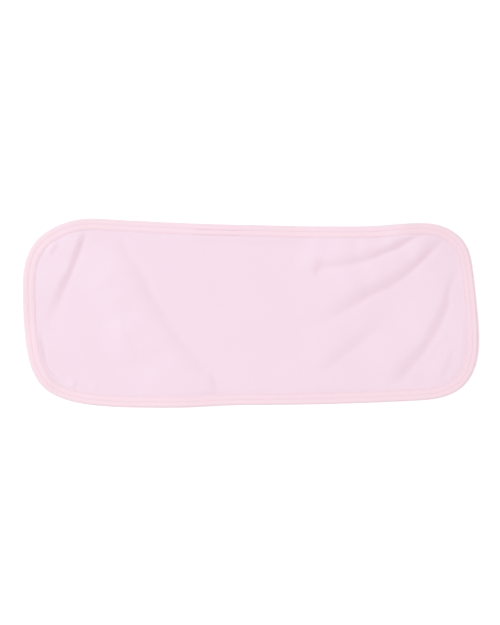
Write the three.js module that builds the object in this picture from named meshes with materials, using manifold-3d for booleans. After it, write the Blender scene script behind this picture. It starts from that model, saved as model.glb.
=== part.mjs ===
// A burp cloth lying face up on a flat surface: one soft knitted panel with rounded
// corners, and one strip of binding that wraps the panel's whole edge.
// Millimetres, +Z up. The origin is on the surface under the middle of the cloth, with
// the cloth's length along X.

import * as THREE from 'three';
import { mergeVertices } from 'three/addons/utils/BufferGeometryUtils.js';
import Module from 'manifold-3d';

const wasm = await Module();
wasm.setup();

// Cloth and binding
const panelThickness = 2.0; // the soft knit where nothing presses it
const pressedThickness = 1.0; // the same knit inside the seam
const bindingThickness = 0.7; // one leg of the binding
const bindingWidth = 12.6; // how far each leg reaches in from the edge
const clearance = 0.38; // between the panel and the binding on every side
const rowInsets = [6, 11.6]; // the two rows of stitching, measured in from the edge
const rowDepth = 0.25; // how far the thread pulls the binding down
const turnDepth = 1.6; // the rounded fold along the very edge
const turnSteps = 4;

// Heights of the layers in the seam, from the underside of the binding
const seamFloor = bindingThickness + clearance;
const seamRoof = seamFloor + pressedThickness + clearance;
const bindingHeight = seamRoof + bindingThickness;

// The panel sinks from the seam to the surface, and its creases rise to their full
// height, between these insets
const sinkInsets = [16, 30];
const creaseInsets = [18.6, 27.6];

// How finely the shapes are divided
const edgeSteps = 144;
const routeSteps = 30;
const rowStep = 7.3; // across the cloth
const gridMargin = 8; // how far the panel's grid starts outside the cloth
const cutterHeight = 40; // taller than the cloth
const weldDistance = 1e-3; // corners closer than this are one corner
const columnZones = [ // along the cloth, finer where the creases are steep
  { place: 'left crease', upTo: -176, step: 6.4 },
  { place: 'long soft crease', upTo: -24, step: 9.5 },
  { place: 'plain middle', upTo: 58, step: 16 },
  { place: 'right creases', upTo: 262, step: 6.4 }
];

// The cloth's edge, clockwise from its left end. Each station has its place and the
// heading of the edge there, in degrees from +X.
const edgeStations = [
  { place: 'left end, middle', x: -253.9, y: 32, heading: 90 },
  { place: 'top left corner', x: -234, y: 85.5, heading: 40 },
  { place: 'top side, left', x: -171, y: 105.3, heading: -3 },
  { place: 'top side, middle', x: 0, y: 98.2, heading: -1 },
  { place: 'top side, dip', x: 130, y: 96.6, heading: 1 },
  { place: 'top side, right', x: 196, y: 100, heading: -2 },
  { place: 'top right corner', x: 243, y: 70, heading: -69 },
  { place: 'right end, upper', x: 249.5, y: 36, heading: -83 },
  { place: 'right end, lower', x: 253.9, y: -30, heading: -90 },
  { place: 'bottom right corner', x: 236, y: -82.5, heading: -139 },
  { place: 'bottom side, right', x: 186, y: -97.5, heading: -177 },
  { place: 'bottom side, middle', x: 0, y: -102.4, heading: -180 },
  { place: 'bottom side, bulge', x: -90, y: -105.3, heading: -180 },
  { place: 'bottom side, left', x: -178, y: -102.4, heading: -187 },
  { place: 'bottom left corner', x: -224, y: -88.5, heading: -213 },
  { place: 'left end, lower', x: -247, y: -52, heading: -256 }
];

// Where the whole hem stands off the surface: the middle of the lift, how far it
// reaches and how high it goes.
const hemLifts = [
  { place: 'top right corner', x: 205, y: 92, reach: 62, height: 2.4 },
  { place: 'top left corner', x: -186, y: 96, reach: 58, height: 1.6 },
  { place: 'right end', x: 250, y: -30, reach: 52, height: 1.4 },
  { place: 'bottom left corner', x: -238, y: -58, reach: 50, height: 1.5 },
  { place: 'left end, from beyond it', x: -330, y: 20, reach: 125, height: 5 }
];

// Creases of the panel. The route runs down the steep side of the fold, with its foot on
// the left and its crest on the right. The steep side's width changes from the route's
// start to its end, it climbs faster near the foot where lean is under 1, and past the
// crest the cloth falls gently. The crease gains its height over the first share of the
// route, up, and loses it over the last, down.
const creases = [
  {
    name: 'main crease',
    route: [
      [222, 91], [200, 71.5], [186.5, 57], [171, 45], [154, 34], [136, 25], [118, 16], [83, -5], [62, -20]
    ],
    height: 3.6, steep: [11, 24], gentle: 50, lean: 0.75, up: 0.22, down: 0.38
  },
  {
    name: 'upper crease',
    route: [[208, 95], [185, 87], [158, 73], [140, 66], [121, 60], [101, 57], [78, 54], [50, 52]],
    height: 4.4, steep: [7, 23], gentle: 45, lean: 0.75, up: 0.25, down: 0.3
  },
  {
    name: 'end crease',
    route: [
      [230, 63], [225.5, 46], [220, 27], [216, 7], [203, -20], [192, -38], [179, -53], [163, -70], [150, -84]
    ],
    height: 2.4, steep: [8, 19], gentle: 45, lean: 0.9, up: 0.4, down: 0.2
  },
  {
    name: 'lower crease',
    route: [[148, -5], [134, -18], [119, -30], [103, -43], [87, -55], [56, -73]],
    height: 1.4, steep: [16, 18], gentle: 40, lean: 0.85, up: 0.35, down: 0.35
  },
  {
    name: 'left crease',
    route: [[-183, 97], [-194, 68], [-201, 49], [-210, 31], [-218, 13], [-234, -20]],
    height: 2.9, steep: [8, 13], gentle: 75, lean: 0.95, up: 0.18, down: 0.5
  },
  {
    name: 'long soft crease',
    route: [[-157, 92], [-140, 64], [-129, 47], [-120, 29], [-105, 2], [-83, -31], [-59, -63], [-36, -88]],
    height: 2.5, steep: [20, 24], gentle: 60, lean: 0.8, up: 0.15, down: 0.2
  }
];

// The low line at a crease's foot, as a share of the crease's height
const footDepth = 0.1;

// A rounded bump, from 1 at its middle to 0 at its reach
function bump(distance, reach) {

  return Math.abs(distance) < reach ? 0.5 + 0.5 * Math.cos(Math.PI * distance / reach) : 0;

}

// The closed edge of the cloth as cubic curves from station to station. The handles
// have the length that makes an even turn a circular arc.
function makeEdgeCurve() {

  const path = new THREE.CurvePath();

  edgeStations.forEach((from, i) => {

    const to = edgeStations[(i + 1) % edgeStations.length];
    const start = new THREE.Vector2(from.x, from.y);
    const end = new THREE.Vector2(to.x, to.y);
    const away = THREE.MathUtils.degToRad(from.heading);
    const arrive = THREE.MathUtils.degToRad(to.heading);
    const turn = Math.acos(Math.cos(away - arrive));
    const handle = start.distanceTo(end) / (3 * Math.cos(turn / 4) ** 2);
    path.add(new THREE.CubicBezierCurve(
      start,
      start.clone().add(new THREE.Vector2(Math.cos(away), Math.sin(away)).multiplyScalar(handle)),
      end.clone().sub(new THREE.Vector2(Math.cos(arrive), Math.sin(arrive)).multiplyScalar(handle)),
      end
    ));

  });

  return path;

}

// Evenly spaced points on the edge, each with the direction that points into the cloth
function makeEdgeRing() {

  const points = makeEdgeCurve().getSpacedPoints(edgeSteps).slice(0, edgeSteps);
  return points.map((point, i) => {

    const before = points[(i + edgeSteps - 1) % edgeSteps];
    const after = points[(i + 1) % edgeSteps];
    const along = after.clone().sub(before).normalize();
    return { point, inward: new THREE.Vector2(along.y, -along.x) };

  });

}

const edgeRing = makeEdgeRing();

// How far a point is from the cloth's edge
function edgeInset(x, y) {

  const place = new THREE.Vector2(x, y);
  let best = Infinity;
  edgeRing.forEach(({ point }, i) => {

    const side = edgeRing[(i + 1) % edgeRing.length].point.clone().sub(point);
    const offset = place.clone().sub(point);
    const share = THREE.MathUtils.clamp(offset.dot(side) / side.lengthSq(), 0, 1);
    best = Math.min(best, offset.distanceTo(side.multiplyScalar(share)));

  });

  return best;

}

// How high the whole hem stands off the surface at a point
function hemLift(x, y) {

  return hemLifts.reduce((sum, lift) =>
    sum + lift.height * bump(Math.hypot(x - lift.x, y - lift.y), lift.reach), 0);

}

const creaseRoutes = creases.map((crease) =>
  new THREE.SplineCurve(crease.route.map(([x, y]) => new THREE.Vector2(x, y))).getSpacedPoints(routeSteps));

// Height of one crease at a point, from the nearest place on its route
function creaseHeight(crease, route, x, y) {

  let best = Infinity;
  let share = 0;
  let side = 0;
  for (let i = 0; i < routeSteps; i++) {

    const stepX = route[i + 1].x - route[i].x;
    const stepY = route[i + 1].y - route[i].y;
    const offX = x - route[i].x;
    const offY = y - route[i].y;
    const along = THREE.MathUtils.clamp((offX * stepX + offY * stepY) / (stepX ** 2 + stepY ** 2), 0, 1);
    const distance = Math.hypot(offX - along * stepX, offY - along * stepY);
    if (distance < best) {

      best = distance;
      share = (i + along) / routeSteps;
      side = Math.sign(stepX * offY - stepY * offX);

    }

  }

  const width = THREE.MathUtils.lerp(...crease.steep, share);
  const steepest = 0.74 * crease.lean - 0.24; // where the climb is steepest, from the foot
  const fromFoot = steepest * width - side * best;
  const climb = THREE.MathUtils.clamp(fromFoot / width, 0, 1) ** crease.lean;
  const shape = fromFoot < width
    ? 0.5 - 0.5 * Math.cos(Math.PI * climb)
    : bump(fromFoot - width, crease.gentle);
  const rise = THREE.MathUtils.smoothstep(share, 0, crease.up)
    * THREE.MathUtils.smoothstep(1 - share, 0, crease.down);
  return crease.height * rise * (shape - footDepth * bump(fromFoot, width / 2));

}

// Underside and upper side of the panel at a point
function panelHeights(x, y) {

  const inset = edgeInset(x, y);
  const sink = THREE.MathUtils.smoothstep(inset, ...sinkInsets);
  const folds = creases.reduce((sum, crease, i) => sum + creaseHeight(crease, creaseRoutes[i], x, y), 0);
  const free = THREE.MathUtils.smoothstep(inset, ...creaseInsets);
  const hem = hemLift(x, y);
  return {
    under: hem + Math.max(folds, 0) * free + seamFloor * (1 - sink),
    upper: hem + folds * free + THREE.MathUtils.lerp(seamFloor + pressedThickness, panelThickness, sink)
  };

}

// A closed shape as a solid that can be cut
function solidFrom(geometry) {

  const bare = geometry.index ? geometry.toNonIndexed() : geometry.clone();
  bare.deleteAttribute('normal');
  bare.deleteAttribute('uv');
  const merged = mergeVertices(bare, weldDistance);
  return new wasm.Manifold(new wasm.Mesh({
    numProp: 3,
    vertProperties: merged.attributes.position.array,
    triVerts: new Uint32Array(merged.index.array)
  }));

}

// A cut solid as a shape again
function geometryFrom(solid) {

  const mesh = solid.getMesh();
  const geometry = new THREE.BufferGeometry();
  geometry.setAttribute('position', new THREE.BufferAttribute(mesh.vertProperties, 3));
  geometry.setIndex(new THREE.BufferAttribute(mesh.triVerts, 1));
  geometry.computeVertexNormals();
  return geometry;

}

// Where the grid's columns stand along the cloth, zone by zone from its left end
function columnPlaces() {

  const places = [-columnZones.at(-1).upTo];
  columnZones.forEach(({ upTo, step }) => {

    const from = places.at(-1);
    const count = Math.round((upTo - from) / step);
    for (let i = 1; i <= count; i++) places.push(from + (upTo - from) * i / count);

  });
  return places;

}

// The panel: a slab with the cloth's heights on both sides, cut to the panel's outline
function makePanel() {

  const columns = columnPlaces();
  const reach = new THREE.Box2().setFromPoints(edgeRing.map(({ point }) => point));
  const { x: length, y: width } = reach.expandByScalar(gridMargin).getSize(new THREE.Vector2());
  const slab = new THREE.BoxGeometry(
    length, width, panelThickness, columns.length - 1, Math.round(width / rowStep), 1);
  const position = slab.attributes.position;
  for (let i = 0; i < position.count; i++) {

    const column = Math.round((position.getX(i) / length + 0.5) * (columns.length - 1));
    position.setX(i, columns[column]);
    const { under, upper } = panelHeights(position.getX(i), position.getY(i));
    position.setZ(i, position.getZ(i) > 0 ? upper : under);

  }

  const tuck = bindingThickness + 2 * clearance;
  const outline = edgeRing.map(({ point, inward }) => point.clone().addScaledVector(inward, tuck));
  const cutter = new THREE.ExtrudeGeometry(
    new THREE.Shape(outline), { depth: cutterHeight, bevelEnabled: false });
  cutter.translate(0, 0, -cutterHeight / 2);
  return geometryFrom(solidFrom(slab).intersect(solidFrom(cutter)));

}

// The binding's section: inset from the edge and height above its underside, from the
// inner end of the lower leg round the fold to the upper leg and back through the slot.
// The upper leg dips at each row of stitching.
function bindingSection() {

  const slotEnd = bindingThickness + clearance;
  const section = [[bindingWidth, 0]];
  for (let i = 0; i <= turnSteps; i++) {

    const angle = Math.PI * i / turnSteps;
    section.push([
      turnDepth * (1 - Math.sin(angle)),
      bindingHeight / 2 * (1 - Math.cos(angle))
    ]);

  }

  const [outerRow, innerRow] = rowInsets;
  section.push(
    [outerRow, bindingHeight - rowDepth],
    [(outerRow + innerRow) / 2, bindingHeight],
    [innerRow, bindingHeight - rowDepth],
    [bindingWidth, bindingHeight],
    [bindingWidth, seamRoof],
    [slotEnd, seamRoof],
    [slotEnd, bindingThickness],
    [bindingWidth, bindingThickness]
  );
  return section;

}

// The binding: its section carried once round the cloth's edge
function makeBinding() {

  const section = bindingSection();
  const positions = [];
  const triangles = [];
  edgeRing.forEach(({ point, inward }, i) => {

    const next = (i + 1) % edgeSteps;
    section.forEach(([inset, height], j) => {

      const { x, y } = point.clone().addScaledVector(inward, inset);
      positions.push(x, y, hemLift(x, y) + height);
      const after = (j + 1) % section.length;
      const a = i * section.length + j;
      const b = next * section.length + j;
      const c = next * section.length + after;
      const d = i * section.length + after;
      triangles.push(a, c, b, a, d, c);

    });

  });

  const geometry = new THREE.BufferGeometry();
  geometry.setAttribute('position', new THREE.Float32BufferAttribute(positions, 3));
  geometry.setIndex(triangles);
  geometry.computeVertexNormals();
  return geometry;

}

const panel = new THREE.Mesh(
  makePanel(),
  new THREE.MeshStandardMaterial({ color: 0xf7dfec, roughness: 0.95, metalness: 0 })
);
panel.name = 'cloth_panel';

const binding = new THREE.Mesh(
  makeBinding(),
  new THREE.MeshStandardMaterial({ color: 0xf7dbe7, roughness: 0.9, metalness: 0 })
);
binding.name = 'edge_binding';

const burpCloth = new THREE.Group();
burpCloth.name = 'burp_cloth';
burpCloth.add(panel, binding);

export default burpCloth;
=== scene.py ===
# A burp cloth laid out face up: one soft knitted panel, the binding folded over its edge,
# and the twin rows of stitching that hold them together.
# The sizes below are in millimetres, and the meshes are made in metres, +Z up.

import math

import bpy
import numpy as np
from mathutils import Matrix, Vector
from mathutils.geometry import delaunay_2d_cdt
from mathutils.kdtree import KDTree


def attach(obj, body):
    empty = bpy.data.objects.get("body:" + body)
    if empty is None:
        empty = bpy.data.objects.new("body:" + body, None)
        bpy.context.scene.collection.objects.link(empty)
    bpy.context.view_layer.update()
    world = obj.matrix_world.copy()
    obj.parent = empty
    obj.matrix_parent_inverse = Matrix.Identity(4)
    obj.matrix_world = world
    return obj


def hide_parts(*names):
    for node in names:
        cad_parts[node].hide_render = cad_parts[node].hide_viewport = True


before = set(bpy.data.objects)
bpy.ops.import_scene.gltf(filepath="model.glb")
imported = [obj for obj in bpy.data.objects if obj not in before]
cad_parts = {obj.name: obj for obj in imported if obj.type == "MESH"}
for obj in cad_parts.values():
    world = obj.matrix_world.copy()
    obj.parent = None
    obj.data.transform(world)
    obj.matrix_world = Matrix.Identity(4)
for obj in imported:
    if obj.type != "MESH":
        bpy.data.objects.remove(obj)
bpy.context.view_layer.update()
mm = 0.001


def table(columns, *lines):  # rows with named columns
    return [dict(zip(columns.split(), line)) for line in lines]


def smooth(low, high, value):  # 0 up to low, 1 from high on
    share = np.clip((value - low) / (high - low), 0, 1)
    return share * share * (3 - 2 * share)


def hump(distance, reach):  # 1 in its middle, 0 from its reach on
    return np.where(np.abs(distance) < reach, 0.5 + 0.5 * np.cos(np.pi * distance / reach), 0)


# The outline of the cloth, and where its hem stands off the surface
clothShape = {
    "edgePoints": 1080,
    "curveSteps": 200,  # from one station to the next
    "stations": table(  # clockwise from the left end, with the edge's heading from +X
        "x y heading",
        (-253.9, 32, 90),
        (-234, 85.5, 40),
        (-171, 105.3, -3),
        (0, 98.2, -1),
        (130, 96.6, 1),
        (196, 100, -2),
        (243, 70, -69),
        (249.5, 36, -83),
        (253.9, -30, -90),
        (236, -82.5, -139),
        (186, -97.5, -177),
        (0, -102.4, -180),
        (-90, -105.3, -180),
        (-178, -102.4, -187),
        (-224, -88.5, -213),
        (-247, -52, -256),
    ),
    "hemLifts": table(
        "x y reach height",
        (205, 92, 62, 2.4),
        (-186, 96, 58, 1.6),
        (250, -30, 52, 1.4),
        (-238, -58, 50, 1.5),
        (-330, 20, 125, 5),  # from beyond the left end, so that its hem curls up
    ),
}


def turned(degrees):  # the direction that far round from +X
    return np.array([math.cos(math.radians(degrees)), math.sin(math.radians(degrees))])


def edgeOfCloth(count):  # evenly spaced points, the way inward at each, and the length round
    stations = clothShape["stations"]
    t = np.linspace(0, 1, clothShape["curveSteps"], endpoint=False)[:, None]
    curve = []
    for here, there in zip(stations, stations[1:] + stations[:1]):
        start = np.array([here["x"], here["y"]])
        end = np.array([there["x"], there["y"]])
        turn = math.acos(np.dot(turned(here["heading"]), turned(there["heading"])))
        handle = np.linalg.norm(end - start) / (3 * math.cos(turn / 4) ** 2)  # as on an arc
        leave = start + handle * turned(here["heading"])
        arrive = end - handle * turned(there["heading"])
        ends = (1 - t) ** 3 * start + t**3 * end
        curve.append(ends + 3 * (1 - t) * t * ((1 - t) * leave + t * arrive))
    curve = np.concatenate(curve + [curve[0][:1]])
    run = np.concatenate([[0], np.cumsum(np.linalg.norm(np.diff(curve, axis=0), axis=1))])
    places = np.linspace(0, run[-1], count, endpoint=False)
    points = np.stack([np.interp(places, run, curve[:, k]) for k in range(2)], 1)
    ahead = np.roll(points, -1, 0) - np.roll(points, 1, 0)
    ahead /= np.linalg.norm(ahead, axis=1)[:, None]
    return points, np.stack([ahead[:, 1], -ahead[:, 0]], 1), run[-1]


edge, inward, edgeLength = edgeOfCloth(clothShape["edgePoints"])
edgeTree = KDTree(len(edge))
for index, (px, py) in enumerate(edge):
    edgeTree.insert((px, py, 0), index)
edgeTree.balance()
print(f"edge of the cloth: {edgeLength:.0f} mm round")


def ringAt(inset):
    return edge + inward * inset


def nearEdge(places):  # the nearest point of the edge to each place, and how far it is
    found = [edgeTree.find((x, y, 0)) for x, y in places]
    return np.array([hit[1] for hit in found]), np.array([hit[2] for hit in found])


def hemLift(x, y):
    height = 0
    for lift in clothShape["hemLifts"]:
        away = np.hypot(x - lift["x"], y - lift["y"])
        height = height + lift["height"] * hump(away, lift["reach"])
    return height


def atEdge(share, inset):  # a place by its share of the way round and its inset
    at = np.asarray(share) % 1 * len(edge)
    whole = at.astype(int) % len(edge)
    part = (at - np.floor(at))[..., None]
    after = (whole + 1) % len(edge)
    point = edge[whole] * (1 - part) + edge[after] * part
    side = inward[whole] * (1 - part) + inward[after] * part
    return point + side * np.asarray(inset)[..., None]


def shareNear(x, y):  # how far round the edge is nearest to a place
    return edgeTree.find((x, y, 0))[1] / len(edge)


# The panel. A crease's route runs down the dark side of the fold, with the foot of the
# fold on its left and the crest on its right. Between them the cloth rises over a width
# that changes from the route's start to its end, faster near the foot where lean is
# under 1, and past the crest it falls gently. The crease reaches its full height over
# the first share of the route, up, and loses it over the last, down.
panelSizes = {
    "topCell": 1.5,
    "underCell": 3.2,
    "start": 1.4,  # inset of the panel's own edge, hidden in the binding
    "topBand": 24,  # rings follow the edge as far in as this
    "underBand": 30,
    "latticeGap": 0.6,  # from the last ring to the points inside it, in cells
    "pressedTop": 1.9,
    "pressedUnder": 0.6,
    "flatTop": 2.05,
    "puff": 0.05,  # how far the cloth swells where it leaves the binding
    "puffRise": (12.2, 17),
    "puffFall": (16, 32),
    "puffPatches": (9.1, 11.7),  # the swell varies over these lengths along X and Y
    "puffPhase": 1.3,
    "puffGrain": (4.3, 5.9),
    "puffSwing": (0.3, 0.2),  # by this share of it, in patches and in grain
    "sink": (13, 27),
    "creaseStart": (12.2, 16),
    "hemInset": 14,  # the hem is lifted by the folds that lie this far in
    "hemShare": 0.97,
    "hemBlur": 7,
    "hemBlurPoints": 30,  # of the edge, on each side
    "trough": 0.1,  # depth of the low line at the foot, as a share of the height
    "troughReach": 0.5,  # as a share of the width
    "leanShift": 0.74,  # of the width, towards the foot, for each 1 that the lean is under 1
    "uneven": table("length width height", (58, 0.1, 0.06), (31, 0.07, 0.07)),  # along a crease
    "creases": table(
        "route height width gentle lean up down",
        ([(222, 91), (200, 71.5), (186.5, 57), (171, 45), (154, 34), (136, 25), (118, 16),
          (83, -5), (62, -20)],
         3.6, (11, 24), 50, 0.75, 0.22, 0.38),
        ([(208, 95), (185, 87), (158, 73), (140, 66), (121, 60), (101, 57), (78, 54), (50, 52)],
         4.4, (7, 23), 45, 0.75, 0.25, 0.3),
        ([(230, 63), (225.5, 46), (220, 27), (216, 7), (203, -20), (192, -38), (179, -53),
          (163, -70), (150, -84)],
         2.4, (8, 19), 45, 0.9, 0.4, 0.2),
        ([(148, -5), (134, -18), (119, -30), (103, -43), (87, -55), (56, -73)],
         1.4, (16, 18), 40, 0.85, 0.35, 0.35),
        ([(-183, 97), (-194, 68), (-201, 49), (-210, 31), (-218, 13), (-234, -20)],
         2.9, (8, 13), 75, 0.95, 0.18, 0.5),
        ([(-157, 92), (-140, 64), (-129, 47), (-120, 29), (-105, 2), (-83, -31), (-59, -63),
          (-36, -88)],
         2.5, (20, 24), 60, 0.8, 0.15, 0.2),
        # fainter ones
        ([(226, -36), (220, -58), (211, -76)], 0.6, (7, 7), 15, 0.9, 0.3, 0.3),
        ([(80, 66), (74, 50), (69, 34)], 1.5, (13, 9), 22, 0.9, 0.3, 0.5),
        ([(-47, -60), (-37, -92)], 0.9, (9, 7), 18, 0.9, 0.4, 0.4),
        ([(-148, -2), (-143, -12), (-132, -36), (-122, -55)], 0.9, (10, 10), 30, 0.9, 0.3, 0.3),
        ([(-237, -16), (-234, -40), (-227, -62), (-211, -83)], 2.2, (8, 8), 16, 0.9, 0.25, 0.25),
        ([(-212.5, 82), (-225, 61)], 1.3, (7, 7), 20, 0.9, 0.4, 0.4),
        ([(-193, -71), (-198, -88)], 0.8, (6, 6), 10, 0.9, 0.4, 0.4),
        ([(-169, -76), (-172, -92)], 0.5, (6, 6), 10, 0.9, 0.4, 0.4),
        ([(66, 79), (10, 79), (-30, 80), (-78, 81.5)], 0.9, (8, 8), 20, 0.9, 0.2, 0.2),
    ),
    "waveCount": 14,  # long low waves that keep the cloth from lying dead flat
    "waveLengths": (45, 150),
    "waveHeight": 0.07,
    "seed": 11,
    "atOnce": 4000,  # places that are measured from a crease in one go
}


def smoothRoute(route, steps=24):  # a Catmull-Rom curve through the route's points
    points = np.array(route, float)
    points = np.vstack([2 * points[0] - points[1], points, 2 * points[-1] - points[-2]])
    t = np.linspace(0, 1, steps, endpoint=False)[:, None]
    parts = []
    for a, b, c, d in zip(points, points[1:], points[2:], points[3:]):
        bend = 2 * a - 5 * b + 4 * c - d + t * (3 * (b - c) + d - a)
        parts.append(b + 0.5 * t * (c - a + t * bend))
    return np.vstack(parts + [points[-2:-1]])


def fromRoute(route, x, y):  # how far left of it, what share of the way along it, and its length
    start, step = route[:-1], np.diff(route, axis=0)
    run = np.concatenate([[0], np.cumsum(np.linalg.norm(step, axis=1))])
    offX = x[:, None] - start[None, :, 0]
    offY = y[:, None] - start[None, :, 1]
    share = np.clip((offX * step[:, 0] + offY * step[:, 1]) / (step**2).sum(1), 0, 1)
    distance = np.hypot(offX - share * step[:, 0], offY - share * step[:, 1])
    best = distance.argmin(1)
    row = np.arange(len(x))
    side = np.sign(step[best, 0] * offY[row, best] - step[best, 1] * offX[row, best])
    place = run[best] + share[row, best] * (run[best + 1] - run[best])
    return side * distance[row, best], place / run[-1], run[-1]


def creaseHeight(crease, x, y):
    route = smoothRoute(crease["route"])
    reach = max(crease["width"]) + crease["gentle"]
    low, high = route.min(0) - reach, route.max(0) + reach
    near = np.nonzero((x > low[0]) & (x < high[0]) & (y > low[1]) & (y < high[1]))[0]
    height = np.zeros(len(x))
    for some in np.array_split(near, max(1, len(near) // panelSizes["atOnce"])):
        left, along, length = fromRoute(route, x[some], y[some])
        width = crease["width"][0] + (crease["width"][1] - crease["width"][0]) * along
        swing = 1
        for wave in panelSizes["uneven"]:
            turn = np.sin(2 * np.pi * (along * length + route[0, 0]) / wave["length"])
            width = width * (1 + wave["width"] * turn)
            swing = swing * (1 + wave["height"] * turn)
        steepest = 0.5 - panelSizes["leanShift"] * (1 - crease["lean"])  # the route runs there
        fromFoot = steepest * width - left
        climb = np.clip(fromFoot / width, 0, 1) ** crease["lean"]
        shape = (0.5 - 0.5 * np.cos(np.pi * climb)) * (fromFoot < width)
        shape = shape + hump(fromFoot - width, crease["gentle"]) * (fromFoot >= width)
        shape = shape - panelSizes["trough"] * hump(fromFoot, panelSizes["troughReach"] * width)
        rise = smooth(0, crease["up"], along) * smooth(0, crease["down"], 1 - along)
        height[some] = crease["height"] * rise * shape * swing
    return height


def lowWaves(x, y):
    chance = np.random.default_rng(panelSizes["seed"])
    height = np.zeros(len(x))
    for _ in range(panelSizes["waveCount"]):
        length = chance.uniform(*panelSizes["waveLengths"])
        heading = turned(chance.uniform(0, 180)) * 2 * np.pi / length
        height += np.sin(x * heading[0] + y * heading[1] + chance.uniform(0, 2 * np.pi))
    return height * panelSizes["waveHeight"]


def allCreases(x, y):
    return sum(creaseHeight(crease, x, y) for crease in panelSizes["creases"])


def riseOfHem():  # how far the folds lift the hem at each point of the edge, evened out
    lift = allCreases(*ringAt(panelSizes["hemInset"]).T) * panelSizes["hemShare"]
    count = panelSizes["hemBlurPoints"]
    away = np.arange(-count, count + 1) * edgeLength / len(edge)
    blur = np.exp(-0.5 * (away / panelSizes["hemBlur"]) ** 2)
    around = np.concatenate([lift[-count:], lift, lift[:count]])
    return np.convolve(around, blur / blur.sum(), "valid")


hemRise = riseOfHem()


def hemAt(share):  # the same for places given by their share of the way round
    places = np.arange(len(edge) + 1) / len(edge)
    return np.interp(np.asarray(share) % 1, places, np.append(hemRise, hemRise[0]))


def puffNoise(x, y):  # how the swell along the binding varies
    patchX, patchY = panelSizes["puffPatches"]
    grainX, grainY = panelSizes["puffGrain"]
    broad, fine = panelSizes["puffSwing"]
    patches = np.sin(x / patchX + panelSizes["puffPhase"]) * np.cos(y / patchY)
    return 1 + broad * patches + fine * np.sin(x / grainX + y / grainY)


def panelHeights(places):
    x, y = places.T
    nearest, inset = nearEdge(places)
    inset = inset / stripWidth(edge[nearest, 0])
    free = smooth(*panelSizes["creaseStart"], inset)
    folds = allCreases(x, y) * free + hemRise[nearest] * (1 - free)
    base = hemLift(x, y)
    rise = smooth(*panelSizes["puffRise"], inset)
    fall = smooth(*panelSizes["puffFall"], inset)
    puff = panelSizes["puff"] * puffNoise(x, y) * rise * (1 - fall)
    flat = panelSizes["pressedTop"] + (panelSizes["flatTop"] - panelSizes["pressedTop"]) * rise
    sink = smooth(*panelSizes["sink"], inset)
    top = base + flat + puff + folds + free * lowWaves(x, y)
    under = base + panelSizes["pressedUnder"] * (1 - sink) + folds.clip(0)
    return top, under.clip(0)


def fillRing(ring, cell, inset):  # triangles inside a ring, on an even lattice of points
    low, high = ring.min(0), ring.max(0)
    rowStep = cell * math.sqrt(3) / 2
    rows = np.arange(low[1] + rowStep, high[1], rowStep)
    lattice = []
    for k, y in enumerate(rows):
        xs = np.arange(low[0] + cell * (0.5 if k % 2 else 1), high[0], cell)
        lattice.append(np.stack([xs, np.full(len(xs), y)], 1))
    lattice = np.concatenate(lattice)
    lattice = lattice[nearEdge(lattice)[1] > inset + panelSizes["latticeGap"] * cell]
    points = np.concatenate([ring, lattice])
    loop = list(range(len(ring)))
    insideOnly, tolerance = 1, 1e-6
    made = delaunay_2d_cdt([Vector(p) for p in points], [], [loop], insideOnly, tolerance)
    origin = [ids[0] for ids in made[3]]
    faces = np.array([[origin[v] for v in face] for face in made[2]])
    a, b, c = (points[faces[:, k]] for k in range(3))
    turn = (b - a)[:, 0] * (c - a)[:, 1] - (b - a)[:, 1] * (c - a)[:, 0]
    faces[turn < 0] = faces[turn < 0][:, ::-1]
    return lattice, faces


def panelSide(cell, bandEnd):  # one face of the panel, seen from above
    count = len(edge)
    insets = np.linspace(panelSizes["start"], bandEnd, round(bandEnd / cell))
    rings = [ringAt(inset) for inset in insets]
    lattice, inner = fillRing(rings[-1], cell, bandEnd)
    k = np.arange(count)
    after = (k + 1) % count
    band = []
    for r in range(len(rings) - 1):
        outer, nextRing = r * count, (r + 1) * count
        band.append(np.stack([outer + k, nextRing + k, nextRing + after, outer + after], 1))
    inner = inner + (len(rings) - 1) * count  # the last ring comes first in the filling
    return np.concatenate(rings + [lattice]), np.concatenate(band), inner


def meshObject(name, points, faces, material):
    mesh = bpy.data.meshes.new(name)
    mesh.from_pydata((np.asarray(points) * mm).tolist(), [], faces)
    mesh.polygons.foreach_set("use_smooth", [True] * len(mesh.polygons))
    mesh.update()
    made = bpy.data.objects.new(name, mesh)
    bpy.context.scene.collection.objects.link(made)
    mesh.materials.append(material)
    return made


def makePanel(material):
    topPlaces, topBand, topInner = panelSide(panelSizes["topCell"], panelSizes["topBand"])
    underPlaces, underBand, underInner = panelSide(panelSizes["underCell"], panelSizes["underBand"])
    top = np.column_stack([topPlaces, panelHeights(topPlaces)[0]])
    under = np.column_stack([underPlaces, panelHeights(underPlaces)[1]])
    first = len(top)
    k = np.arange(len(edge))
    after = (k + 1) % len(edge)
    rim = np.stack([k, after, first + after, first + k], 1)
    faces = topBand.tolist() + topInner.tolist() + rim.tolist()
    faces += (underBand[:, ::-1] + first).tolist() + (underInner[:, ::-1] + first).tolist()
    return meshObject("panel", np.concatenate([top, under]), faces, material)


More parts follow.
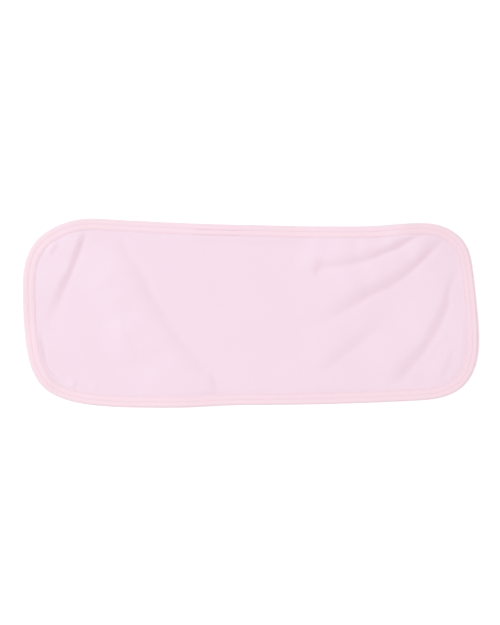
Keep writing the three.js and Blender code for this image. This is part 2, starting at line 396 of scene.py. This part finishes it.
# The binding: a strip of finer knit folded over the edge, sewn down by two rows
bindingSizes = {
    "rows": (6, 11.6),
    "groove": 2.04,  # height of the upper face under the thread
    "pillow": 0.18,  # how far the cloth stands up between the rows
    "pillowLean": (-0.1, 0.11),  # and how much more it does at the +X and the +Y edge
    "pillowPower": 0.75,  # under 1 makes it fuller
    "underGroove": 0.3,
    "underSink": 0.35,  # how far the lower leg sinks again where the looping thread crosses it
    "foldEnd": 2.0,  # where the rounded fold meets the flat legs
    "foldSteps": 10,
    "flatStep": 0.5,
    "slot": (0.5, 1.94),  # heights between which the panel is held
    "slotEnd": 1.0,
    "slotSteps": (9, 6, 3),  # insets of the points between its mouth and its end
    "lip": [(12.1, 2.12), (12.4, 2.1), (12.6, 2.04), (12.6, 1.98), (12.3, 1.94)],  # inset, height
    "underLip": [(12.3, 0.5), (12.6, 0.42), (12.65, 0.2), (12.4, 0.05)],
    "ripples": table(
        "waves height",
        (83, 0.05),
        (118, 0.04),
        (151, 0.035),
        (187, 0.025),
        (29, 0.03),
    ),
    "rippleSpread": 6,  # most that the number of waves differs from the table's
    "rippleAbove": 0.5,  # the upper face ripples in full from this far above the slot
    "outlineRipple": 0.5,
    "outlineReach": 3,  # inset at which the outline's ripple ends
    "wideEnd": (-190, -240),  # along X, where the strip begins to be wider, and where it is widest
    "wider": 0.08,
    "joinPlace": (-14, 98.5),  # where the strip's two ends overlap
    "joinLength": 11,
    "joinHeight": 0.17,
    "joinSlant": 0.35,
    "joinStep": (-0.8, 0.3),  # across its abrupt end
    "joinFade": 3,  # to each side of its faint one
    "seed": 5,
}


def stripWidth(x):  # as a share of its usual width, at a point of the edge
    start, end = bindingSizes["wideEnd"]
    return 1 + bindingSizes["wider"] * smooth(0, 1, (start - x) / (start - end))


def onStrip(share, inset):  # a place on the sewn strip, by its inset where the width is usual
    return atEdge(share, inset * stripWidth(atEdge(share, np.zeros_like(share, float))[..., 0]))


def ripple(share, shift):  # uneven swelling along the strip, the same where it closes
    chance = np.random.default_rng(bindingSizes["seed"] + shift)
    total = 0
    for row in bindingSizes["ripples"]:
        spread = bindingSizes["rippleSpread"]
        waves = row["waves"] + int(chance.integers(-spread, spread + 1))
        start = chance.uniform(0, 2 * np.pi)
        total = total + row["height"] * np.sin(2 * np.pi * waves * share + start)
    return total


def pillowShape(inset):  # 0 at the rows of stitching, 1 half way between them
    outer, inner = bindingSizes["rows"]
    share = np.where(inset < outer, inset / outer, (inset - outer) / (inner - outer))
    arch = np.sin(np.pi * share.clip(0, 1)) ** bindingSizes["pillowPower"]
    return np.where(inset < inner, arch, 0)


def bindingTop(inset):
    return bindingSizes["groove"] + bindingSizes["pillow"] * pillowShape(inset)


def bindingUnder(inset):
    sink = np.where(inset < bindingSizes["rows"][0], 1, bindingSizes["underSink"])
    return bindingSizes["underGroove"] * (1 - sink * pillowShape(inset))


def bindingSection():  # inset and height, from the lower lip round the fold and back
    foldEnd = bindingSizes["foldEnd"]
    flat = np.arange(foldEnd, bindingSizes["rows"][1], bindingSizes["flatStep"])
    under = [(i, float(bindingUnder(np.array(i)))) for i in flat[::-1]]
    top = [(i, float(bindingTop(np.array(i)))) for i in flat]
    low, high = under[-1][1], top[0][1]
    fold = []
    for step in range(1, bindingSizes["foldSteps"]):
        angle = math.pi * step / bindingSizes["foldSteps"]
        height = low + (high - low) * (1 - math.cos(angle)) / 2
        fold.append((foldEnd * (1 - math.sin(angle)), height))
    floor, roof = bindingSizes["slot"]
    insets = [*bindingSizes["slotSteps"], bindingSizes["slotEnd"]]
    inside = [(i, roof) for i in insets] + [(i, floor) for i in insets[::-1]]
    return np.array(under + fold + top + bindingSizes["lip"] + inside + bindingSizes["underLip"])


def acrossStrip(section):  # how far round the section each of its points is, and its end
    closed = np.concatenate([section, section[:1]])
    return np.concatenate([[0], np.cumsum(np.linalg.norm(np.diff(closed, axis=0), axis=1))])


def foldAcross():
    section = bindingSection()
    return acrossStrip(section)[section[:, 0].argmin()]


def joinStep(share, inset):  # the double cloth where one end of the strip lies on the other
    middle = shareNear(*bindingSizes["joinPlace"]) * edgeLength
    slant = bindingSizes["joinSlant"] * (inset - bindingSizes["rows"][0])
    place = share * edgeLength - middle + slant
    half = bindingSizes["joinLength"] / 2
    start, end = bindingSizes["joinStep"]
    fade = bindingSizes["joinFade"]
    return smooth(start - half, end - half, place) * (1 - smooth(half - fade, half + fade, place))


def swelling(share, inset):  # what the strip's unevenness adds to its upper face
    x, y = np.moveaxis(onStrip(share, inset), -1, 0)
    leanX, leanY = bindingSizes["pillowLean"]
    uneven = leanX * x / edge[:, 0].max() + leanY * y / edge[:, 1].max()
    uneven = uneven + np.where(inset < bindingSizes["rows"][0], ripple(share, 0), ripple(share, 1))
    return uneven * pillowShape(inset) + bindingSizes["joinHeight"] * joinStep(share, inset)


def bindingSurface(share, inset):  # height of the finished upper face, as it lies
    x, y = np.moveaxis(onStrip(share, inset), -1, 0)
    return hemLift(x, y) + hemAt(share) + bindingTop(inset) + swelling(share, inset)


def makeBinding(material):
    section = bindingSection()
    count = len(edge)
    share = np.repeat(np.arange(count)[:, None] / count, len(section), 1)
    inset = np.repeat(section[None, :, 0], count, 0)
    height = np.repeat(section[None, :, 1], count, 0)
    roof = bindingSizes["slot"][1]
    upper = smooth(roof, roof + bindingSizes["rippleAbove"], height)
    height = height + upper * swelling(share, inset)
    atOutline = 1 - smooth(0, bindingSizes["outlineReach"], inset)
    inset = inset - bindingSizes["outlineRipple"] * ripple(share, 2) * atOutline
    places = onStrip(share, inset)
    height = height + hemLift(places[..., 0], places[..., 1]) + hemRise[:, None]
    points = np.concatenate([places, height[..., None]], -1).reshape(-1, 3)
    width = len(section)
    i, j = np.meshgrid(np.arange(count), np.arange(width), indexing="ij")
    nextI, nextJ = (i + 1) % count, (j + 1) % width
    here, there = i * width, nextI * width
    faces = np.stack([here + j, here + nextJ, there + nextJ, there + j], -1)
    made = meshObject("binding", points, faces.reshape(-1, 4).tolist(), material)
    across = acrossStrip(section)
    along = np.arange(count + 1) * edgeLength / count
    corners = [(i, j), (i, j + 1), (i + 1, j + 1), (i + 1, j)]
    strip = np.stack([np.stack([along[a], across[b]], -1) for a, b in corners], 2)
    layer = made.data.uv_layers.new(name="strip")
    layer.uv.foreach_set("vector", (strip * mm).astype(np.float32).ravel())
    return made


# The thread. On the upper face each row is a line of single stitches, and underneath one
# looping thread crosses from row to row.
threadSizes = {
    "stitches": 460,
    "radius": 0.21,
    "thickness": (0.93, 1.07),  # least and most, as shares of the radius
    "endThickness": 0.65,  # where a stitch dives in, as a share of its middle's
    "gap": 0.07,  # share of a stitch that dives into the cloth at each end
    "samples": 7,
    "sides": 6,
    "float": 0.16,  # how far the middle of a stitch stands off the groove
    "dive": 0.34,
    "archPower": 0.5,  # under 1 makes a stitch flatter on top
    "wander": 0.07,  # how far a stitch's ends are off its row, to one side and the other
    "jitter": 0.04,  # and how far all of it is
    "overlap": [(-67, 100.5), (-18, 98.5)],  # the run that was sewn twice
    "overlapInset": 0.5,  # how much further in its second row lies
    "overlapStart": 0.4,  # and how much later each stitch of it begins, in stitches
    "loopRadius": 0.16,
    "loopGap": 0.02,  # between the loops and the surface that the cloth lies on
    "loopRise": 0.12,  # into the cloth, at both rows
    "loopPower": 6,  # the higher, the nearer to the rows it rises
    "loopSway": 0.25,
    "loopSides": 5,
    "loopSamples": 6,
    "seed": 3,
}


def tubes(name, paths, radii, sides, material):  # paths: strands, samples, xyz
    strands, samples, _ = paths.shape
    ahead = np.gradient(paths, axis=1)
    ahead /= np.linalg.norm(ahead, axis=2)[..., None]
    across = np.cross(ahead, [0, 0, 1])
    across /= np.linalg.norm(across, axis=2)[..., None]
    above = np.cross(across, ahead)
    angle = (np.arange(sides) * 2 * np.pi / sides)[None, None, :, None]
    around = np.cos(angle) * across[:, :, None] + np.sin(angle) * above[:, :, None]
    points = paths[:, :, None] + around * radii[..., None, None]
    counts = np.arange(strands), np.arange(samples - 1), np.arange(sides)
    n, i, j = np.meshgrid(*counts, indexing="ij")
    corner = (n * samples + i) * sides
    nextJ = (j + 1) % sides
    walls = np.stack([corner + j, corner + nextJ, corner + sides + nextJ, corner + sides + j], -1)
    first = np.arange(strands)[:, None] * samples * sides + np.arange(sides)[None, ::-1]
    last = first[:, ::-1] + (samples - 1) * sides
    faces = walls.reshape(-1, 4).tolist() + first.tolist() + last.tolist()
    return meshObject(name, points.reshape(-1, 3), faces, material)


def stitchRow(shares, inset, chance):
    t = np.linspace(0, 1, threadSizes["samples"])
    step = 1 / threadSizes["stitches"]
    gap = threadSizes["gap"]
    share = shares[:, None] + step * (gap + (1 - 2 * gap) * t)[None]
    each = (len(shares), 1)
    lean = chance.uniform(-1, 1, each) * threadSizes["wander"]
    aside = chance.uniform(-1, 1, each) * threadSizes["jitter"]
    place = inset + lean * (2 * t - 1)[None] + aside
    arch = np.sin(np.pi * t) ** threadSizes["archPower"]
    height = bindingSurface(share, np.full_like(share, inset)) - threadSizes["dive"]
    height = height + (threadSizes["dive"] + threadSizes["float"]) * arch[None]
    paths = np.concatenate([onStrip(share, place), height[..., None]], -1)
    radii = threadSizes["radius"] * chance.uniform(*threadSizes["thickness"], each)
    thin = threadSizes["endThickness"]
    return paths, radii * (thin + (1 - thin) * arch[None])


def makeStitches(material):
    chance = np.random.default_rng(threadSizes["seed"])
    count = threadSizes["stitches"]
    every = np.arange(count) / count
    start, end = (shareNear(*place) for place in threadSizes["overlap"])
    again = every[(every > start) & (every < end)] + threadSizes["overlapStart"] / count
    rows = []
    for inset in bindingSizes["rows"]:
        rows.append(stitchRow(every, inset, chance))
        rows.append(stitchRow(again, inset + threadSizes["overlapInset"], chance))
    paths = np.concatenate([row[0] for row in rows])
    radii = np.concatenate([row[1] for row in rows])
    return tubes("stitchRows", paths, radii, threadSizes["sides"], material)


def makeLoops(material):
    outer, inner = bindingSizes["rows"]
    count = threadSizes["stitches"]
    t = np.linspace(0, 1, threadSizes["loopSamples"])[None]
    every = np.arange(count)[:, None]
    strands = []
    for first, second, offset in ((outer, inner, 0), (inner, outer, 0.5)):  # in and out again
        share = (every + offset + 0.5 * t) / count
        sway = threadSizes["loopSway"] * np.sin(2 * np.pi * t)
        inset = first + (second - first) * t + sway
        place = onStrip(share, np.broadcast_to(inset, share.shape))
        rise = threadSizes["loopRise"] * np.cos(np.pi * t) ** threadSizes["loopPower"]
        height = threadSizes["loopRadius"] + threadSizes["loopGap"] + rise
        height = height + hemLift(place[..., 0], place[..., 1]) + hemAt(share)
        strands.append(np.concatenate([place, height[..., None]], -1))
    paths = np.concatenate(strands)
    radii = np.full(paths.shape[:2], threadSizes["loopRadius"])
    return tubes("underLoops", paths, radii, threadSizes["loopSides"], material)


# Finishes
class Wire:  # a shader socket that can stand in a Python expression
    def __init__(self, finish, socket):
        self.finish = finish
        self.socket = socket

    def maths(self, operation, *values):
        return self.finish.add("ShaderNodeMath", {"operation": operation}, dict(enumerate(values)))

    def __add__(self, other):
        return self.maths("ADD", self, other)

    def __sub__(self, other):
        return self.maths("SUBTRACT", self, other)

    def __rsub__(self, other):
        return self.maths("SUBTRACT", other, self)

    def __mul__(self, other):
        return self.maths("MULTIPLY", self, other)

    def __truediv__(self, other):
        return self.maths("DIVIDE", self, other)

    def __abs__(self):
        return self.maths("ABSOLUTE", self)

    __radd__ = __add__
    __rmul__ = __mul__

    def sine(self):
        return self.maths("SINE", self)

    def fraction(self):
        return self.maths("FRACT", self)


class Finish:  # a material, and the one way in which its nodes are added
    def __init__(self, name):
        self.material = bpy.data.materials.new(name)
        self.material.use_nodes = True
        self.tree = self.material.node_tree
        self.tree.nodes.clear()

    def add(self, kind, settings=None, sockets=None, output=0):
        node = self.tree.nodes.new(kind)
        for key, value in (settings or {}).items():
            setattr(node, key, value)
        for key, value in (sockets or {}).items():
            if isinstance(value, Wire):
                self.tree.links.new(value.socket, node.inputs[key])
            else:
                node.inputs[key].default_value = value
        return Wire(self, node.outputs[output]) if node.outputs else None

    def part(self, vector, axis):
        return self.add("ShaderNodeSeparateXYZ", {}, {0: vector}, output=axis)

    def noise(self, vector, size, detail=2):
        sockets = {"Vector": vector, "Scale": 1 / (size * mm), "Detail": detail}
        return self.add("ShaderNodeTexNoise", {}, sockets)

    def blend(self, factor, first, second):
        sockets = {0: factor, 6: first, 7: second}
        return self.add("ShaderNodeMix", {"data_type": "RGBA"}, sockets, output=2)

    def relief(self, height, depth, under=None):
        sockets = {"Height": height, "Distance": depth * mm, "Strength": 1.0}
        if under is not None:
            sockets["Normal"] = under
        return self.add("ShaderNodeBump", {}, sockets)

    def surface(self, sockets):
        shader = self.add("ShaderNodeBsdfPrincipled", {}, sockets)
        self.add("ShaderNodeOutputMaterial", {}, {"Surface": shader})
        return self.material


# Columns of V-shaped stitches, from 0 to 1. The share called columns is the roundness of
# each column, and the rest is the arms of its stitches.
def knit(along, across, sizes, columns=0.6):
    side = abs((across / (sizes["wale"] * mm)).fraction() - 0.5) * 2  # 1 between two columns
    arms = (along / (sizes["course"] * mm) + side * 0.5) * (2 * math.pi)
    return (1 - side * side) * columns + (arms.sine() * 0.5 + 0.5) * (1 - columns)


panelFinish = {
    "colour": (0.875, 0.706, 0.797, 1),
    "deep": (0.85, 0.665, 0.765, 1),
    "deepIn": {"patches": 0.5, "nap": 0.35, "knit": 0.25},  # the deep colour's share in each; in knit it is painted shade in the low parts between the stitches, while patches and nap are random tone
    "deepLess": 0.1,  # taken off their sum
    "wale": 0.85,  # width of a column of stitches, and height of a stitch
    "course": 0.7,
    "knitDepth": 0.07,
    "wander": 1.1,  # how far the columns of stitches stray
    "wanderSize": 14,  # and over what length
    "napSize": 0.35,
    "napDepth": 0.05,
    "patchSize": 38,
    "roughness": (0.86, 0.98),
    "sheen": 0.12,
    "sheenRoughness": 0.5,
    "sheenColour": (1, 0.86, 0.93, 1),
    "gloss": 0.2,
}


def panelMaterial():
    sizes = panelFinish
    finish = Finish("softKnit")
    place = finish.add("ShaderNodeTexCoord", {}, {}, output="Object")
    wander = finish.noise(place, sizes["wanderSize"], detail=1) * (sizes["wander"] * mm)
    pattern = knit(finish.part(place, 0) + wander, finish.part(place, 1) + wander, sizes)
    nap = finish.noise(place, sizes["napSize"], detail=3)
    patches = finish.noise(place, sizes["patchSize"], detail=2)
    deep = sizes["deepIn"]
    # The knit's share darkens the low parts between the stitches, as painted shade; patches and nap
    # are random tone
    shade = patches * deep["patches"] + nap * deep["nap"] + (1 - pattern) * deep["knit"]
    low, high = sizes["roughness"]
    relief = finish.relief(pattern, sizes["knitDepth"])
    return finish.surface({
        "Base Color": finish.blend(shade - sizes["deepLess"], sizes["colour"], sizes["deep"]),
        "Roughness": nap * (high - low) + low,
        "Normal": finish.relief(nap, sizes["napDepth"], relief),
        "Sheen Weight": sizes["sheen"],
        "Sheen Roughness": sizes["sheenRoughness"],
        "Sheen Tint": sizes["sheenColour"],
        "Specular IOR Level": sizes["gloss"],
    })


bindingFinish = {
    "colour": (0.895, 0.71, 0.775, 1),
    "deep": (0.86, 0.645, 0.725, 1),
    "paintedFoldShade": (0.825, 0.67, 0.73, 1),  # painted shade along the outer fold, darker where its rounded side turns from the light
    "paintedShadeReach": 3.6,
    # the deep colour's share in each; in knit it is painted shade in the low parts between the
    # stitches, while nap is random tone
    "deepIn": {"nap": 0.5, "knit": 0.35},
    "deepLess": 0.1,
    "wale": 0.7,
    "course": 0.55,
    "knitDepth": 0.06,
    "napSize": 0.3,
    "napDepth": 0.03,
    "roughness": (0.8, 0.92),
    "sheen": 0.08,
    "sheenRoughness": 0.5,
    "gloss": 0.25,
}


def bindingMaterial():
    sizes = bindingFinish
    finish = Finish("fineKnitBinding")
    strip = finish.add("ShaderNodeUVMap", {"uv_map": "strip"})
    place = finish.add("ShaderNodeTexCoord", {}, {}, output="Object")
    along, across = finish.part(strip, 0), finish.part(strip, 1)
    pattern = knit(across, along, sizes)  # its columns run across the strip
    nap = finish.noise(place, sizes["napSize"], detail=3)
    deep = sizes["deepIn"]
    # The knit's share darkens the low parts between the stitches, as painted shade; the nap's share
    # is random tone
    shade = nap * deep["nap"] + (1 - pattern) * deep["knit"] - sizes["deepLess"]
    # Painted shade: the colour turns darker towards the outer fold, where its rounded side turns
    # from the light
    fromFold = abs(across - foldAcross() * mm) / (sizes["paintedShadeReach"] * mm)
    paintedFoldShade = finish.add("ShaderNodeMapRange", {"interpolation_type": "SMOOTHSTEP"}, {0: 1 - fromFold})
    cloth = finish.blend(shade, sizes["colour"], sizes["deep"])
    low, high = sizes["roughness"]
    relief = finish.relief(pattern, sizes["knitDepth"])
    return finish.surface({
        "Base Color": finish.blend(paintedFoldShade, cloth, sizes["paintedFoldShade"]),
        "Roughness": nap * (high - low) + low,
        "Normal": finish.relief(nap, sizes["napDepth"], relief),
        "Sheen Weight": sizes["sheen"],
        "Sheen Roughness": sizes["sheenRoughness"],
        "Specular IOR Level": sizes["gloss"],
    })


threadFinish = {
    "colour": (0.87, 0.655, 0.74, 1),
    "deep": (0.82, 0.57, 0.67, 1),
    "plySize": 0.25,
    "plyDepth": 0.05,
    "roughness": (0.5, 0.7),
    "sheen": 0.1,
    "gloss": 0.35,
}


def threadMaterial():
    sizes = threadFinish
    finish = Finish("sewingThread")
    place = finish.add("ShaderNodeTexCoord", {}, {}, output="Object")
    ply = finish.noise(place, sizes["plySize"], detail=1)
    low, high = sizes["roughness"]
    return finish.surface({
        "Base Color": finish.blend(ply, sizes["colour"], sizes["deep"]),
        "Roughness": ply * (high - low) + low,
        "Normal": finish.relief(ply, sizes["plyDepth"]),
        "Sheen Weight": sizes["sheen"],
        "Specular IOR Level": sizes["gloss"],
    })


# The studio: a pale floor, soft light from the upper left, and the camera straight above.
# The two lights add up to white on a level surface, and what turns away from the lamp
# grows warmer.
studio = {
    "floorSize": 30000,
    "floorDrop": 0.2,
    "floorColour": (0.93, 0.93, 0.93, 1),
    "floorPatches": 120,
    "floorRoughness": (0.85, 0.95),
    "floorGloss": 0.1,
    "floorGlow": (0.12, 0.4),  # near the cloth, and far from it
    "floorGlowReach": (800, 6000),
    "lightLevel": 1.095,  # of both lights on a level surface
    "lampShare": (0.22, 0.33, 0.3),  # of the lamp alone, in red, green and blue
    "lampAzimuth": 158,
    "lampElevation": 50,
    "lampDistance": 5000,
    "lampSize": 2200,
    "cameraHeight": 1600,
    "clothHeight": 2,
    "frameHeight": 698.1,  # of the picture, at the cloth: 625 pixels of 1.117 mm
    "centre": (-0.4, 0.6),  # the picture's centre is this far from the cloth's
    "sensor": 36,
}


def makeFloor():
    half = studio["floorSize"] / 2
    finish = Finish("paleFloor")
    place = finish.add("ShaderNodeTexCoord", {}, {}, output="Object")
    away = finish.add("ShaderNodeVectorMath", {"operation": "LENGTH"}, {0: place}, output="Value")
    near, far = studio["floorGlowReach"]
    reached = finish.add("ShaderNodeMapRange", {}, {0: away, 1: near * mm, 2: far * mm})
    dim, bright = studio["floorGlow"]
    low, high = studio["floorRoughness"]
    material = finish.surface({
        "Base Color": studio["floorColour"],
        "Roughness": finish.noise(place, studio["floorPatches"]) * (high - low) + low,
        "Specular IOR Level": studio["floorGloss"],
        "Emission Color": finish.blend(reached, (dim, dim, dim, 1), (bright, bright, bright, 1)),
        "Emission Strength": 1,
    })
    corners = [(-half, -half), (half, -half), (half, half), (-half, half)]
    points = [(x, y, -studio["floorDrop"]) for x, y in corners]
    meshObject("studioFloor", points, [[0, 1, 2, 3]], material)


def makeLights():
    share = np.array(studio["lampShare"]) * studio["lightLevel"]
    rest = studio["lightLevel"] - share
    world = bpy.data.worlds.new("studioWorld")
    bpy.context.scene.world = world
    world.use_nodes = True
    background = world.node_tree.nodes["Background"]
    background.inputs["Color"].default_value = (*(rest / rest.max()), 1)
    background.inputs["Strength"].default_value = rest.max()
    level = math.radians(studio["lampElevation"])
    flat = turned(studio["lampAzimuth"]) * math.cos(level)
    direction = Vector((flat[0], flat[1], math.sin(level)))
    distance = studio["lampDistance"] * mm
    lamp = bpy.data.lights.new("softLamp", "AREA")
    lamp.shape = "DISK"
    lamp.size = studio["lampSize"] * mm
    lamp.color = share / share.max()
    # the power that brings the lamp's share to a level surface under it
    lamp.energy = (math.pi * distance) ** 2 * share.max() / math.sin(level)
    light = bpy.data.objects.new("softLamp", lamp)
    light.location = direction * distance
    light.rotation_euler = direction.to_track_quat("Z", "Y").to_euler()
    bpy.context.scene.collection.objects.link(light)


def makeCamera():
    lens = bpy.data.cameras.new("overhead")
    distance = studio["cameraHeight"] - studio["clothHeight"]
    lens.sensor_width = studio["sensor"]
    lens.lens = studio["sensor"] * distance / studio["frameHeight"]
    camera = bpy.data.objects.new("overhead", lens)
    x, y = studio["centre"]
    camera.location = (x * mm, y * mm, studio["cameraHeight"] * mm)
    bpy.context.scene.collection.objects.link(camera)
    bpy.context.scene.camera = camera


bpy.context.scene.view_settings.view_transform = "Standard"
makeCamera()
makeLights()
makeFloor()
print("studio ready")

panel = makePanel(panelMaterial())
print(f"panel: {len(panel.data.polygons)} faces")
binding = makeBinding(bindingMaterial())
print(f"binding: {len(binding.data.polygons)} faces")
thread = threadMaterial()
stitches = makeStitches(thread)
loops = makeLoops(thread)
print(f"thread: {len(stitches.data.polygons) + len(loops.data.polygons)} faces")

for piece in (panel, binding, stitches, loops):
    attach(piece, "root")
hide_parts("cloth_panel")
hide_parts("edge_binding")
